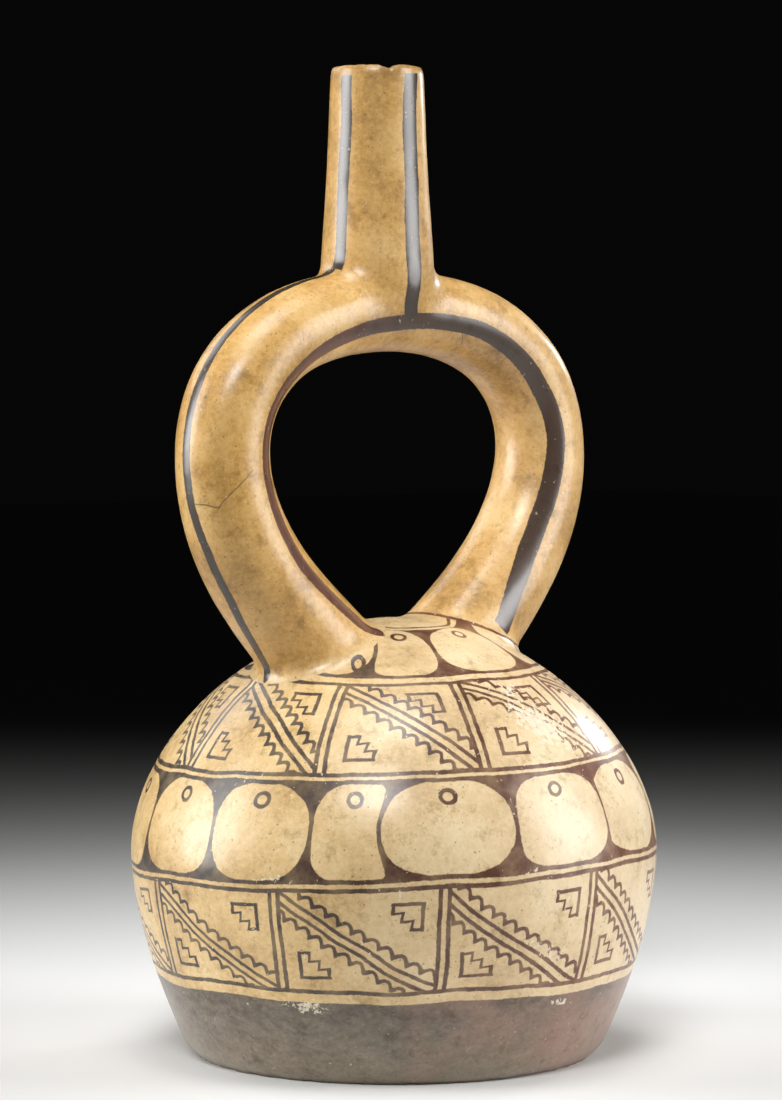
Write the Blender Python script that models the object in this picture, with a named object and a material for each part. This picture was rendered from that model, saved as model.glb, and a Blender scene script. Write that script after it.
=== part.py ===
# Stirrup spout vessel: a hollow globular chamber on a flat base, with a hollow arched handle
# whose two legs open into the chamber, and one tapering spout on the crown of the arch.
# The arch lies in the XZ plane, the painted front faces -Y, and the origin is the centre of the
# underside.

import math

import bmesh
import bpy
from mathutils import Vector

MM = 0.001

# Chamber, outer form
BASE_RADIUS = 60.8 * MM
BASE_EDGE = 1.6 * MM              # worn rounding of the foot
WIDEST_RADIUS = 78.2 * MM
WIDEST_HEIGHT = 61.0 * MM
CROWN_HEIGHT = 129.0 * MM         # top of the dome between the legs
LOWER_FULLNESS = 1.7              # exponent of the wall below the widest line
UPPER_FULLNESS = 1.8              # exponent of the shoulder's superellipse
WALL = 5.0 * MM
FLOOR = 6.5 * MM

# Stirrup: centre line of one leg from the crown of the arch to the foot, and the tube's radius
ARCH_HEIGHT = 219.5 * MM
ARCH_RADIUS = 12.3 * MM
HALF_SPAN = 63.0 * MM
SPAN_HEIGHT = 177.5 * MM
SPAN_RADIUS = 13.8 * MM
FOOT_OFFSET = 20.5 * MM
FOOT_HEIGHT = 112.0 * MM
FOOT_RADIUS = 17.6 * MM
FOOT_LEAN = math.radians(15.0)
ARCH_REACH = 45.5 * MM            # handle lengths of the curve
UPPER_REACH = 21.0 * MM
LOWER_REACH = 34.0 * MM
FOOT_REACH = 8.0 * MM
LEG_WALL = 4.6 * MM

# Spout: it narrows towards the lip
RIM_HEIGHT = 291.5 * MM
SPOUT_ROOT_HEIGHT = 230.0 * MM
SPOUT_ROOT_RADIUS = 17.1 * MM
SPOUT_TOE_HEIGHT = 208.5 * MM     # the root is rounded off inside and under the arch's crown
SPOUT_WAIST_HEIGHT = 254.0 * MM
SPOUT_WAIST_RADIUS = 15.35 * MM
RIM_RADIUS = 13.9 * MM
SPOUT_WALL = 4.2 * MM
LIP = 1.6 * MM                    # rounding of the lip

# The handmade set of the joined parts: both sit a little off the chamber's axis
STIRRUP_SHIFT = Vector((-1.6, 1.4, 0.0)) * MM
SPOUT_SHIFT = Vector((-5.3, 1.4, 0.0)) * MM

# Chips out of the lip: direction round the spout from +X, radius of the chip and how far its
# centre stands above the lip
RIM_CHIPS = [
    (math.radians(249.0), 4.2 * MM, 2.9 * MM),
    (math.radians(25.0), 4.2 * MM, 3.4 * MM),
]

CHAMBER_SEGMENTS = 72
HOLLOW_SEGMENTS = 48
LEG_STEPS = 9                     # steps along each of the arch's four curve spans
LEG_ROUNDNESS = 5                 # a tube has 4 * (roundness + 1) sides
BORE_STEPS = 7
ROOT_STEPS = 5                    # steps down the spout's rounded root
BORE_ROUNDNESS = 3

CLAY_COLOUR = (0.63, 0.44, 0.22, 1.0)
CLAY_ROUGHNESS = 0.42


def clear_scene():
    for item in list(bpy.data.objects):
        bpy.data.objects.remove(item, do_unlink=True)


def clay_material():
    material = bpy.data.materials.new("burnished_clay")
    material.use_nodes = True
    shader = material.node_tree.nodes["Principled BSDF"]
    shader.inputs["Base Color"].default_value = CLAY_COLOUR
    shader.inputs["Roughness"].default_value = CLAY_ROUGHNESS
    shader.inputs["Metallic"].default_value = 0.0
    return material


def link_mesh(name, mesh):
    item = bpy.data.objects.new(name, mesh)
    bpy.context.scene.collection.objects.link(item)
    return item


def make_guide(item):
    item.hide_render = True
    item.display_type = "WIRE"
    return item


def chamber_radius(height):
    # a full curve up to the widest line, then a superellipse shoulder that closes at the crown
    if height <= WIDEST_HEIGHT:
        drop = (WIDEST_HEIGHT - height) / WIDEST_HEIGHT
        return WIDEST_RADIUS - (WIDEST_RADIUS - BASE_RADIUS) * drop ** LOWER_FULLNESS
    rise = min(1.0, (height - WIDEST_HEIGHT) / (CROWN_HEIGHT - WIDEST_HEIGHT))
    return WIDEST_RADIUS * (1.0 - rise ** UPPER_FULLNESS) ** (1.0 / UPPER_FULLNESS)


def shoulder_heights(count):
    # equal turns of the wall's direction, so the crown gets as smooth a line as the side
    spans = [math.sin(math.radians(90.0 * k / count)) for k in range(1, count)]
    return [WIDEST_HEIGHT + (CROWN_HEIGHT - WIDEST_HEIGHT) * s for s in spans]


def outer_profile():
    # from the crown down the outer side to the middle of the underside
    points = [(0.0, CROWN_HEIGHT)]
    points += [(chamber_radius(z), z) for z in reversed(shoulder_heights(13))]
    lower = [WIDEST_HEIGHT * (1.0 - k / 9.0) for k in range(9)]
    points += [(chamber_radius(z), z) for z in lower]
    points += [(BASE_RADIUS, BASE_EDGE), (BASE_RADIUS - BASE_EDGE, 0.0), (0.0, 0.0)]
    return points


def hollow_profile():
    # the outer line moved inwards by the wall along its own normal
    points = [(0.0, CROWN_HEIGHT - WALL)]
    heights = list(reversed(shoulder_heights(9)))
    heights += [WIDEST_HEIGHT * (1.0 - k / 5.0) for k in range(5)]
    step = 0.2 * MM
    for z in heights:
        slope = (chamber_radius(z + step) - chamber_radius(z - step)) / (2.0 * step)
        length = math.hypot(1.0, slope)
        inner_z = z + WALL * slope / length
        if inner_z > FLOOR + 4.0 * MM:
            points.append((chamber_radius(z) - WALL / length, inner_z))
    floor_radius = BASE_RADIUS - WALL
    points += [(floor_radius, FLOOR + 2.5 * MM), (floor_radius - 4.0 * MM, FLOOR), (0.0, FLOOR)]
    return points


def turned_mesh(name, profile, segments):
    shape = bmesh.new()
    line = [shape.verts.new((radius, 0.0, height)) for radius, height in profile]
    edges = [shape.edges.new(pair) for pair in zip(line, line[1:])]
    bmesh.ops.spin(shape, geom=line + edges, cent=(0, 0, 0), axis=(0, 0, 1),
                   angle=2.0 * math.pi, steps=segments, use_merge=True)
    bmesh.ops.remove_doubles(shape, verts=shape.verts, dist=0.00001)
    bmesh.ops.recalc_face_normals(shape, faces=shape.faces)
    mesh = bpy.data.meshes.new(name)
    shape.to_mesh(mesh)
    shape.free()
    return mesh


def swept_mesh(name, stations, steps, roundness):
    # stations hold (place, handle before, handle after, tube radius)
    curve = bpy.data.curves.new(name, "CURVE")
    curve.dimensions = "3D"
    curve.bevel_depth = 1.0
    curve.bevel_resolution = roundness
    curve.use_fill_caps = True
    curve.resolution_u = steps
    spline = curve.splines.new("BEZIER")
    spline.bezier_points.add(len(stations) - 1)
    for point, (place, before, after, radius) in zip(spline.bezier_points, stations):
        point.handle_left_type = point.handle_right_type = "FREE"
        point.co = place
        point.handle_left = before
        point.handle_right = after
        point.radius = radius
    guide = bpy.data.objects.new(name, curve)
    mesh = bpy.data.meshes.new_from_object(guide)
    bpy.data.objects.remove(guide)
    shape = bmesh.new()
    shape.from_mesh(mesh)
    bmesh.ops.remove_doubles(shape, verts=shape.verts, dist=0.00001)
    bmesh.ops.recalc_face_normals(shape, faces=shape.faces)
    shape.to_mesh(mesh)
    shape.free()
    mesh.name = name
    return mesh


def arch_stations(thinner, deeper):
    # foot, widest point, crown, widest point and foot; deeper runs the feet on into the chamber
    def leg(side):
        lean = Vector((side * math.sin(FOOT_LEAN), 0.0, math.cos(FOOT_LEAN)))
        foot = Vector((side * FOOT_OFFSET, 0.0, FOOT_HEIGHT)) + STIRRUP_SHIFT
        widest = Vector((side * HALF_SPAN, 0.0, SPAN_HEIGHT)) + STIRRUP_SHIFT
        return lean, foot, widest

    stations = []
    for side in (-1, 1):
        lean, foot, widest = leg(side)
        toe = foot - lean * deeper
        span = [
            (toe, toe - lean * FOOT_REACH, toe + lean * deeper * 0.5, FOOT_RADIUS),
            (foot, foot - lean * deeper * 0.5, foot + lean * FOOT_REACH, FOOT_RADIUS),
            (widest, widest - Vector((0, 0, LOWER_REACH)),
             widest + Vector((0, 0, UPPER_REACH)), SPAN_RADIUS),
        ]
        if side < 0:
            stations += span
            crown = Vector((0.0, 0.0, ARCH_HEIGHT)) + STIRRUP_SHIFT
            reach = Vector((ARCH_REACH, 0.0, 0.0))
            stations.append((crown, crown - reach, crown + reach, ARCH_RADIUS))
        else:
            stations += [(p, after, before, r) for p, before, after, r in reversed(span)]
    return [(p, before, after, r - thinner) for p, before, after, r in stations]


def spout_profile():
    points = [(0.0, RIM_HEIGHT), (RIM_RADIUS - LIP, RIM_HEIGHT)]
    points += [(RIM_RADIUS - 0.3 * LIP, RIM_HEIGHT - 0.3 * LIP), (RIM_RADIUS, RIM_HEIGHT - LIP)]
    points += [(SPOUT_WAIST_RADIUS, SPOUT_WAIST_HEIGHT)]
    turn = math.radians(90.0 / ROOT_STEPS)
    for k in range(ROOT_STEPS):
        depth = (SPOUT_ROOT_HEIGHT - SPOUT_TOE_HEIGHT) * math.sin(k * turn)
        points.append((SPOUT_ROOT_RADIUS * math.cos(k * turn), SPOUT_ROOT_HEIGHT - depth))
    return points + [(0.0, SPOUT_TOE_HEIGHT)]


def spout_hollow_profile():
    top = RIM_HEIGHT + 2.0 * MM
    mouth = RIM_RADIUS - SPOUT_WALL
    points = [(0.0, top), (mouth + 0.5 * MM, top), (mouth, RIM_HEIGHT - LIP)]
    points += [(SPOUT_WAIST_RADIUS - SPOUT_WALL, SPOUT_WAIST_HEIGHT)]
    return points + [(SPOUT_WAIST_RADIUS - SPOUT_WALL, ARCH_HEIGHT), (0.0, ARCH_HEIGHT)]


def chip_mesh(name, angle, radius, above):
    shape = bmesh.new()
    bmesh.ops.create_icosphere(shape, subdivisions=2, radius=radius)
    reach = RIM_RADIUS - 0.4 * SPOUT_WALL
    centre = SPOUT_SHIFT + Vector((reach * math.cos(angle), reach * math.sin(angle),
                                   RIM_HEIGHT + above))
    bmesh.ops.translate(shape, verts=shape.verts, vec=centre)
    mesh = bpy.data.meshes.new(name)
    shape.to_mesh(mesh)
    shape.free()
    return mesh


def combine(item, other, operation):
    modifier = item.modifiers.new(other.name, "BOOLEAN")
    modifier.operation = operation
    modifier.solver = "EXACT"
    modifier.object = other


def build_vessel():
    vessel = link_mesh("vessel", turned_mesh("chamber", outer_profile(), CHAMBER_SEGMENTS))
    vessel.data.materials.append(clay_material())

    stirrup = swept_mesh("stirrup", arch_stations(0.0, 6.0 * MM), LEG_STEPS, LEG_ROUNDNESS)
    bore = swept_mesh("stirrup_hollow", arch_stations(LEG_WALL, 16.0 * MM), BORE_STEPS,
                      BORE_ROUNDNESS)
    hollow = turned_mesh("chamber_hollow", hollow_profile(), HOLLOW_SEGMENTS)
    spout = make_guide(link_mesh("spout", turned_mesh("spout", spout_profile(), 32)))
    spout_hollow = make_guide(
        link_mesh("spout_hollow", turned_mesh("spout_hollow", spout_hollow_profile(), 24)))
    spout.location = SPOUT_SHIFT
    spout_hollow.location = SPOUT_SHIFT

    combine(vessel, make_guide(link_mesh("stirrup", stirrup)), "UNION")
    combine(vessel, spout, "UNION")
    combine(vessel, make_guide(link_mesh("chamber_hollow", hollow)), "DIFFERENCE")
    combine(vessel, make_guide(link_mesh("stirrup_hollow", bore)), "DIFFERENCE")
    combine(vessel, spout_hollow, "DIFFERENCE")
    for number, (angle, radius, above) in enumerate(RIM_CHIPS):
        chip = link_mesh("chip_%d" % number, chip_mesh("chip_%d" % number, angle, radius, above))
        combine(vessel, make_guide(chip), "DIFFERENCE")
    vessel.data.shade_smooth()
    vessel.data.set_sharp_from_angle(angle=math.radians(35.0))


clear_scene()
build_vessel()
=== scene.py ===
import math
from functools import partial

import bmesh
import bpy
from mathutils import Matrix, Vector, kdtree, noise


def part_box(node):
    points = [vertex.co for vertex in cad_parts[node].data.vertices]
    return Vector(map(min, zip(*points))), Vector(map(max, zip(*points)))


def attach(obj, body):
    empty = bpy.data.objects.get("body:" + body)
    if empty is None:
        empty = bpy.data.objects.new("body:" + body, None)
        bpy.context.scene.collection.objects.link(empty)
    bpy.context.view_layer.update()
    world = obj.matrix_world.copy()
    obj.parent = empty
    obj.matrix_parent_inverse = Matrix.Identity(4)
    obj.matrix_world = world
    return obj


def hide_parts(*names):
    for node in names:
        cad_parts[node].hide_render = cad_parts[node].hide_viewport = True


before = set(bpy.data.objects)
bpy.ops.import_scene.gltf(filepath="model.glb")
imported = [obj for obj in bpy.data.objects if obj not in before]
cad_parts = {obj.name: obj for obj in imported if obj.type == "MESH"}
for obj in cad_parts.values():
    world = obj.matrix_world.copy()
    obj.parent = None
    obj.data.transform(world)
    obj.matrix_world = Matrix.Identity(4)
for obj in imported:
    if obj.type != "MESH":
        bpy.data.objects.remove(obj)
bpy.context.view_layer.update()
mm = 0.001


def toLinear(code):
    # "#RRGGBB" as sRGB to the linear colour that sockets hold
    parts = [int(code[k:k + 2], 16) / 255 for k in (1, 3, 5)]
    return [c / 12.92 if c <= 0.04045 else ((c + 0.055) / 1.055) ** 2.4 for c in parts] + [1.0]


def addNode(tree, kind, *inputs, sockets=None, **settings):
    # a kind such as "Math ADD" names the operation too, or a Mix's data type; inputs fill the sockets
    # in order, sockets fills them by name, settings are the node's other menus
    kind, *mode = kind.split()
    node = tree.nodes.new("ShaderNode" + kind)
    if mode:
        settings["data_type" if kind == "Mix" else "operation"] = mode[0]
    for name, value in settings.items():
        setattr(node, name, value)
    given = list(zip([s for s in node.inputs if s.enabled], inputs))
    given += [(node.inputs[name], value) for name, value in (sockets or {}).items()]
    for socket, value in given:
        if isinstance(value, bpy.types.Node):
            value = next(s for s in value.outputs if s.enabled)
        if isinstance(value, bpy.types.NodeSocket):
            tree.links.new(value, socket)
        elif value is not None:
            socket.default_value = value
    return node


def strokeEdge(add, value, width, middle=0):
    # signed distance to the edge of a stroke whose middle is where the value is middle: below 0 in it
    if middle:
        value = add("Math SUBTRACT", value, middle)
    value = add("Math ABSOLUTE", value)
    return add("Math SUBTRACT", value, width / 2)


def nearestOf(add, first, *others):
    # several marks drawn as one
    for other in others:
        first = add("Math MINIMUM", first, other)
    return first


def lengthOf(add, x, y):
    flat = add("CombineXYZ", x, y, 0)
    return add("VectorMath LENGTH", flat)


def angleOf(add, rise, run):
    # in degrees
    angle = add("Math ARCTAN2", rise, run)
    return add("Math DEGREES", angle)


def follow(add, value, points):
    # straight pieces from point to point, in the units of the points
    low, high = points[0][0], points[-1][0]
    least, most = min(y for _, y in points), max(y for _, y in points)
    share = add("MapRange", value, low, high, 0, 1)
    curve = add("FloatCurve", 1.0, share)
    knots = curve.mapping.curves[0].points
    for x, y in points[1:-1]:
        knots.new((x - low) / (high - low), (y - least) / (most - least))
    for knot, (x, y) in zip(knots, points):
        knot.location = ((x - low) / (high - low), (y - least) / (most - least))
        knot.handle_type = "VECTOR"
    curve.mapping.update()
    return add("Math MULTIPLY_ADD", curve, most - least, least)


# the form: a turned chamber, a bent tube and a tapering spout, luted together while wet

boxLow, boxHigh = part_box("vessel")

chamber = {
    "widest": (boxHigh.x - boxLow.x) / 2,
    "widestHeight": 61 * mm,
    "base": 60.8 * mm,
    "baseEdge": 1.6 * mm,
    "crown": 129 * mm,
    "lowerFullness": 1.7,
    "upperFullness": 1.8,
    "wall": 5 * mm,
    "floor": 6.5 * mm,
    "segments": 144,
}


def chamberRadius(height):
    form = chamber
    if height <= form["widestHeight"]:
        drop = (form["widestHeight"] - height) / form["widestHeight"]
        return form["widest"] - (form["widest"] - form["base"]) * drop ** form["lowerFullness"]
    rise = min(1.0, (height - form["widestHeight"]) / (form["crown"] - form["widestHeight"]))
    return form["widest"] * (1 - rise ** form["upperFullness"]) ** (1 / form["upperFullness"])


def chamberProfile(inset):
    # from the crown down to the middle of the underside; inset moves it in by the wall
    form = chamber
    shoulder = form["crown"] - form["widestHeight"]
    heights = [form["widestHeight"] + shoulder * math.sin(math.radians(4 * k)) for k in range(22, 0, -1)]
    heights += [form["widestHeight"] * (1 - k / 16) for k in range(16)]
    line = [(0.0, form["crown"] - inset)]
    for z in heights:
        slope = (chamberRadius(z + 0.1 * mm) - chamberRadius(z - 0.1 * mm)) / (0.2 * mm)
        reach = math.hypot(1, slope)
        line.append((chamberRadius(z) - inset / reach, z + inset * slope / reach))
    bottom = form["floor"] if inset else 0.0
    edge = 4 * mm if inset else form["baseEdge"]
    line = [p for p in line if p[1] > bottom + edge]
    foot = form["base"] - inset
    return line + [(foot, bottom + edge), (foot - edge, bottom), (0.0, bottom)]


def turnProfile(profile, segments, centre=Vector()):
    shape = bmesh.new()
    line = [shape.verts.new((radius, 0, height)) for radius, height in profile]
    edges = [shape.edges.new(pair) for pair in zip(line, line[1:])]
    bmesh.ops.spin(shape, geom=line + edges, cent=(0, 0, 0), axis=(0, 0, 1),
                   angle=math.tau, steps=segments, use_merge=True)
    bmesh.ops.remove_doubles(shape, verts=shape.verts, dist=0.01 * mm)
    bmesh.ops.recalc_face_normals(shape, faces=shape.faces)
    bmesh.ops.translate(shape, verts=shape.verts, vec=centre)
    return shape


stirrup = {
    "shift": Vector((-1.6, 1.4, 0)) * mm,  # set a little off the chamber's axis
    "crown": 219.5 * mm,
    "crownRadius": 12.3 * mm,
    "crownReach": 45.5 * mm,
    "halfSpan": 63 * mm,
    "spanHeight": 177.5 * mm,
    "spanRadius": 13.8 * mm,
    "upperReach": 21 * mm,
    "lowerReach": 34 * mm,
    "footOffset": 20.5 * mm,
    "footHeight": 112 * mm,
    "footRadius": 17.6 * mm,
    "footReach": 8 * mm,
    "footLean": math.radians(15),
    "wall": 4.6 * mm,
    "crownDepth": 1.14,  # the tube is pressed oval under the spout
    "roundness": 12,
    "steps": 40,
    "intoWall": 6 * mm,  # the outer tube runs on into the chamber's wall
    "intoHollow": 16 * mm,  # and its bore right through it
}


def stirrupCurve(thinner, deeper, bevel):
    # one Bezier line from foot to foot; deeper runs both feet on into the chamber
    form = stirrup
    up = Vector((0, 0, 1))
    crown = up * form["crown"] + form["shift"]
    stations = []
    for side in (-1, 1):
        lean = Vector((side * math.sin(form["footLean"]), 0, math.cos(form["footLean"])))
        foot = Vector((side * form["footOffset"], 0, form["footHeight"])) + form["shift"]
        widest = Vector((side * form["halfSpan"], 0, form["spanHeight"])) + form["shift"]
        toe = foot - lean * deeper
        span = [(toe, toe - lean * deeper / 2, toe + lean * deeper / 2, form["footRadius"]),
                (foot, foot - lean * deeper / 2, foot + lean * form["footReach"], form["footRadius"]),
                (widest, widest - up * form["lowerReach"], widest + up * form["upperReach"],
                 form["spanRadius"])]
        if side > 0:
            span = [(place, after, before, radius) for place, before, after, radius in reversed(span)]
        stations += span
        if side < 0:
            reach = Vector((form["crownReach"], 0, 0))
            stations.append((crown, crown - reach, crown + reach, form["crownRadius"]))
    curve = bpy.data.curves.new("stirrup", "CURVE")
    curve.dimensions = "3D"
    curve.bevel_depth = 1.0 if bevel else 0.0
    curve.bevel_resolution = form["roundness"]
    curve.use_fill_caps = True
    curve.resolution_u = form["steps"]
    spline = curve.splines.new("BEZIER")
    spline.bezier_points.add(len(stations) - 1)
    for point, (place, before, after, radius) in zip(spline.bezier_points, stations):
        point.handle_left_type = point.handle_right_type = "FREE"
        point.co, point.handle_left, point.handle_right = place, before, after
        point.radius = radius - thinner
    guide = bpy.data.objects.new("stirrup", curve)
    mesh = bpy.data.meshes.new_from_object(guide)
    bpy.data.objects.remove(guide)
    return mesh


def crownShare(height):
    # 0 at the widest point of the stirrup, 1 near the crown
    share = (height - stirrup["spanHeight"]) / (stirrup["crown"] - stirrup["spanHeight"])
    share = min(1.0, max(0.0, share))
    return share * share * (3 - 2 * share)


def bentTube(thinner, deeper):
    shape = bmesh.new()
    shape.from_mesh(stirrupCurve(thinner, deeper, True))
    bmesh.ops.remove_doubles(shape, verts=shape.verts, dist=0.01 * mm)
    bmesh.ops.recalc_face_normals(shape, faces=shape.faces)
    middle = stirrup["shift"].y
    for vert in shape.verts:
        wider = 1 + (stirrup["crownDepth"] - 1) * crownShare(vert.co.z)
        vert.co.y = middle + (vert.co.y - middle) * wider
    return shape


spout = {
    "shift": Vector((-5.3, 1.4, 0)) * mm,
    "rim": boxHigh.z,
    "rimRadius": 13.9 * mm,
    "lip": 1.4 * mm,
    "waist": 254 * mm,
    "waistRadius": 15.35 * mm,
    "root": 230 * mm,
    "rootRadius": 17.1 * mm,
    "toe": 208.5 * mm,  # rounded off under the crown of the stirrup
    "wall": 4.2 * mm,
    "segments": 96,
}


def spoutProfile(hollow):
    form = spout
    wall, lip, rim = form["wall"], form["lip"], form["rim"]
    if hollow:
        mouth = form["rimRadius"] - wall
        return [(0, rim + 2 * mm), (mouth + lip * 1.6, rim + 2 * mm), (mouth + lip * 0.6, rim - lip * 0.2),
                (mouth, rim - lip * 1.3), (form["waistRadius"] - wall, form["waist"]),
                (form["waistRadius"] - wall, stirrup["crown"]), (0, stirrup["crown"])]
    line = [(0, rim)]
    for k in range(5):
        turn = math.radians(22.5 * k)
        line.append((form["rimRadius"] - lip * (1 - math.sin(turn)), rim - lip * (1 - math.cos(turn))))
    line.append((form["waistRadius"], form["waist"]))
    for k in range(10):
        turn = math.radians(9 * k)
        line.append((form["rootRadius"] * math.cos(turn),
                     form["root"] - (form["root"] - form["toe"]) * math.sin(turn)))
    return line + [(0, form["toe"])]


skin = {
    "voxel": 1.7 * mm,
    "smoothing": 4,  # passes over the whole surface
    "filletSmoothing": 26,  # more passes where the parts were luted together
    "filletReach": 4.5 * mm,
    "legJoints": 140 * mm,  # the feet's joints lie below this height
    "spoutJoint": 240 * mm,  # and the spout's below this one
    "inward": 0.15 * mm,  # keeps the uneven skin inside the modelled size
    "flatUnder": 0.7 * mm,  # the underside is pressed flat up to this height
    "raggedness": (1.5 * mm, 0.12),  # of a chip: size, share of its radius
    "waves": [(25 * mm, 0.28 * mm), (8 * mm, 0.07 * mm)],  # hand-built unevenness: size, height
}

chips = [
    # on the lip: direction round the spout in degrees from +X, radius, height of its centre over the rim
    {"turn": 243, "radius": 4.3 * mm, "above": 2.2 * mm},
    {"turn": 25, "radius": 4.2 * mm, "above": 3.4 * mm},
]


def addItem(name, shape):
    mesh = bpy.data.meshes.new(name)
    shape.to_mesh(mesh)
    shape.free()
    item = bpy.data.objects.new(name, mesh)
    bpy.context.scene.collection.objects.link(item)
    return item


def applyModifiers(item):
    bpy.context.view_layer.update()
    graph = bpy.context.evaluated_depsgraph_get()
    made = bpy.data.meshes.new_from_object(item.evaluated_get(graph))
    item.modifiers.clear()
    item.data = made


def combine(item, shape, operation):
    other = addItem("luted", shape)
    other.hide_render = True
    cut = item.modifiers.new("luted", "BOOLEAN")
    cut.operation, cut.solver, cut.object = operation, "EXACT", other
    applyModifiers(item)
    bpy.data.objects.remove(other)


vessel = addItem("vessel_painted", turnProfile(chamberProfile(0), chamber["segments"]))
combine(vessel, bentTube(0, stirrup["intoWall"]), "UNION")
combine(vessel, turnProfile(spoutProfile(False), spout["segments"], spout["shift"]), "UNION")
combine(vessel, turnProfile(chamberProfile(chamber["wall"]), 96), "DIFFERENCE")
combine(vessel, bentTube(stirrup["wall"], stirrup["intoHollow"]), "DIFFERENCE")
combine(vessel, turnProfile(spoutProfile(True), 48, spout["shift"]), "DIFFERENCE")
print("vessel joined:", len(vessel.data.polygons), "faces")

remesh = vessel.modifiers.new("skin", "REMESH")
remesh.mode, remesh.voxel_size = "VOXEL", skin["voxel"]
applyModifiers(vessel)
print("vessel skin:", len(vessel.data.polygons), "faces")


# where each point of the skin lies: on the chamber, the stirrup or the spout

def stirrupStations():
    # the centre line as (place, outward direction, tube radius, length from the crown)
    line = bmesh.new()
    line.from_mesh(stirrupCurve(0, stirrup["intoWall"], False))
    line.verts.ensure_lookup_table()
    places = [v.co.copy() for v in line.verts]
    line.free()
    lengths = [0.0]
    for a, b in zip(places, places[1:]):
        lengths.append(lengths[-1] + (b - a).length)
    crown = max(range(len(places)), key=lambda k: places[k].z)
    stations = []
    for k, place in enumerate(places):
        ahead = (places[min(k + 1, len(places) - 1)] - places[max(k - 1, 0)]).normalized()
        outward = Vector((-ahead.z, 0, ahead.x))
        rise = place.z
        if rise > stirrup["spanHeight"]:
            share = (rise - stirrup["spanHeight"]) / (stirrup["crown"] - stirrup["spanHeight"])
            radius = stirrup["spanRadius"] + (stirrup["crownRadius"] - stirrup["spanRadius"]) * share
        else:
            share = (stirrup["spanHeight"] - rise) / (stirrup["spanHeight"] - stirrup["footHeight"])
            share = min(1.0, share)
            radius = stirrup["spanRadius"] + (stirrup["footRadius"] - stirrup["spanRadius"]) * share
        stations.append((place, outward, radius, lengths[k] - lengths[crown]))
    return stations


stations = stirrupStations()
finder = kdtree.KDTree(len(stations))
for k, station in enumerate(stations):
    finder.insert(station[0], k)
finder.balance()


def placeOf(point):
    # (outward, depth, along) from the stirrup's centre line, then how far the point is inside the
    # stirrup rather than the chamber, and inside the spout rather than the stirrup
    k = finder.find(point)[1]
    centre, outward, radius, along = stations[k]
    offset = point - centre
    ahead = Vector((outward.z, 0, -outward.x))
    along += offset.dot(ahead)
    fromTube = (offset - ahead * offset.dot(ahead)).length - radius
    fromChamber = math.hypot(point.x, point.y) - chamberRadius(max(0.0, point.z))
    if point.z > chamber["widestHeight"]:
        centred = Vector((point.x, point.y, point.z - chamber["widestHeight"]))
        turn = math.atan2(centred.z, math.hypot(point.x, point.y))
        power = chamber["upperFullness"]
        height = chamber["crown"] - chamber["widestHeight"]
        rim = (abs(math.cos(turn) / chamber["widest"]) ** power
               + abs(math.sin(turn) / height) ** power) ** (-1 / power)
        fromChamber = centred.length - rim
    fromSpout = math.hypot(point.x - spout["shift"].x, point.y - spout["shift"].y) - spout["rootRadius"]
    if point.z < spout["toe"]:
        fromSpout = max(fromSpout, spout["toe"] - point.z)
    return (offset.dot(outward), offset.y, along), fromChamber - fromTube, fromTube - fromSpout


def smooth(shape, verts, passes):
    for turn in range(passes):
        bmesh.ops.smooth_vert(shape, verts=verts, factor=0.5,
                              use_axis_x=True, use_axis_y=True, use_axis_z=True)


shape = bmesh.new()
shape.from_mesh(vessel.data)
smooth(shape, shape.verts, skin["smoothing"])
joint = []
for vert in shape.verts:
    _, onLeg, onSpout = placeOf(vert.co)
    if abs(onLeg) < skin["filletReach"] and vert.co.z < skin["legJoints"]:
        joint.append(vert)
    elif abs(onSpout) < skin["filletReach"] and spout["toe"] < vert.co.z < skin["spoutJoint"]:
        joint.append(vert)
smooth(shape, joint, skin["filletSmoothing"])
shape.normal_update()
for vert in shape.verts:
    swell = sum(height * noise.noise(vert.co / size) for size, height in skin["waves"])
    vert.co += vert.normal * (swell - skin["inward"])
for vert in shape.verts:
    vert.co.z = max(0.0, vert.co.z)
    onBase = math.hypot(vert.co.x, vert.co.y) < chamber["base"] - 2 * mm
    if onBase and vert.co.z < skin["flatUnder"]:
        vert.co.z = 0.0
shape.to_mesh(vessel.data)
shape.free()
for chip in chips:
    dent = bmesh.new()
    bmesh.ops.create_icosphere(dent, subdivisions=3, radius=chip["radius"])
    for vert in dent.verts:
        size, share = skin["raggedness"]
        vert.co *= 1 + share * noise.noise(vert.co / size)
    turn = math.radians(chip["turn"])
    reach = spout["rimRadius"] - 0.4 * spout["wall"]
    bmesh.ops.translate(dent, verts=dent.verts, vec=spout["shift"] + Vector(
        (reach * math.cos(turn), reach * math.sin(turn), spout["rim"] + chip["above"])))
    combine(vessel, dent, "DIFFERENCE")
print("vessel smoothed and chipped:", len(vessel.data.polygons), "faces")

places = [placeOf(vert.co) for vert in vessel.data.vertices]
for name, kind in (("tube", "FLOAT_VECTOR"), ("onLeg", "FLOAT"), ("onSpout", "FLOAT")):
    vessel.data.attributes.new(name, kind, "POINT")
vessel.data.attributes["tube"].data.foreach_set(
    "vector", [part / mm for tube, _, _ in places for part in tube])
vessel.data.attributes["onLeg"].data.foreach_set("value", [onLeg / mm for _, onLeg, _ in places])
vessel.data.attributes["onSpout"].data.foreach_set("value", [onSpout / mm for _, _, onSpout in places])
vessel.data.shade_smooth()
print("vessel mapped")


# the painting: fine brush lines in brown slip on a cream slip ground

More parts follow.
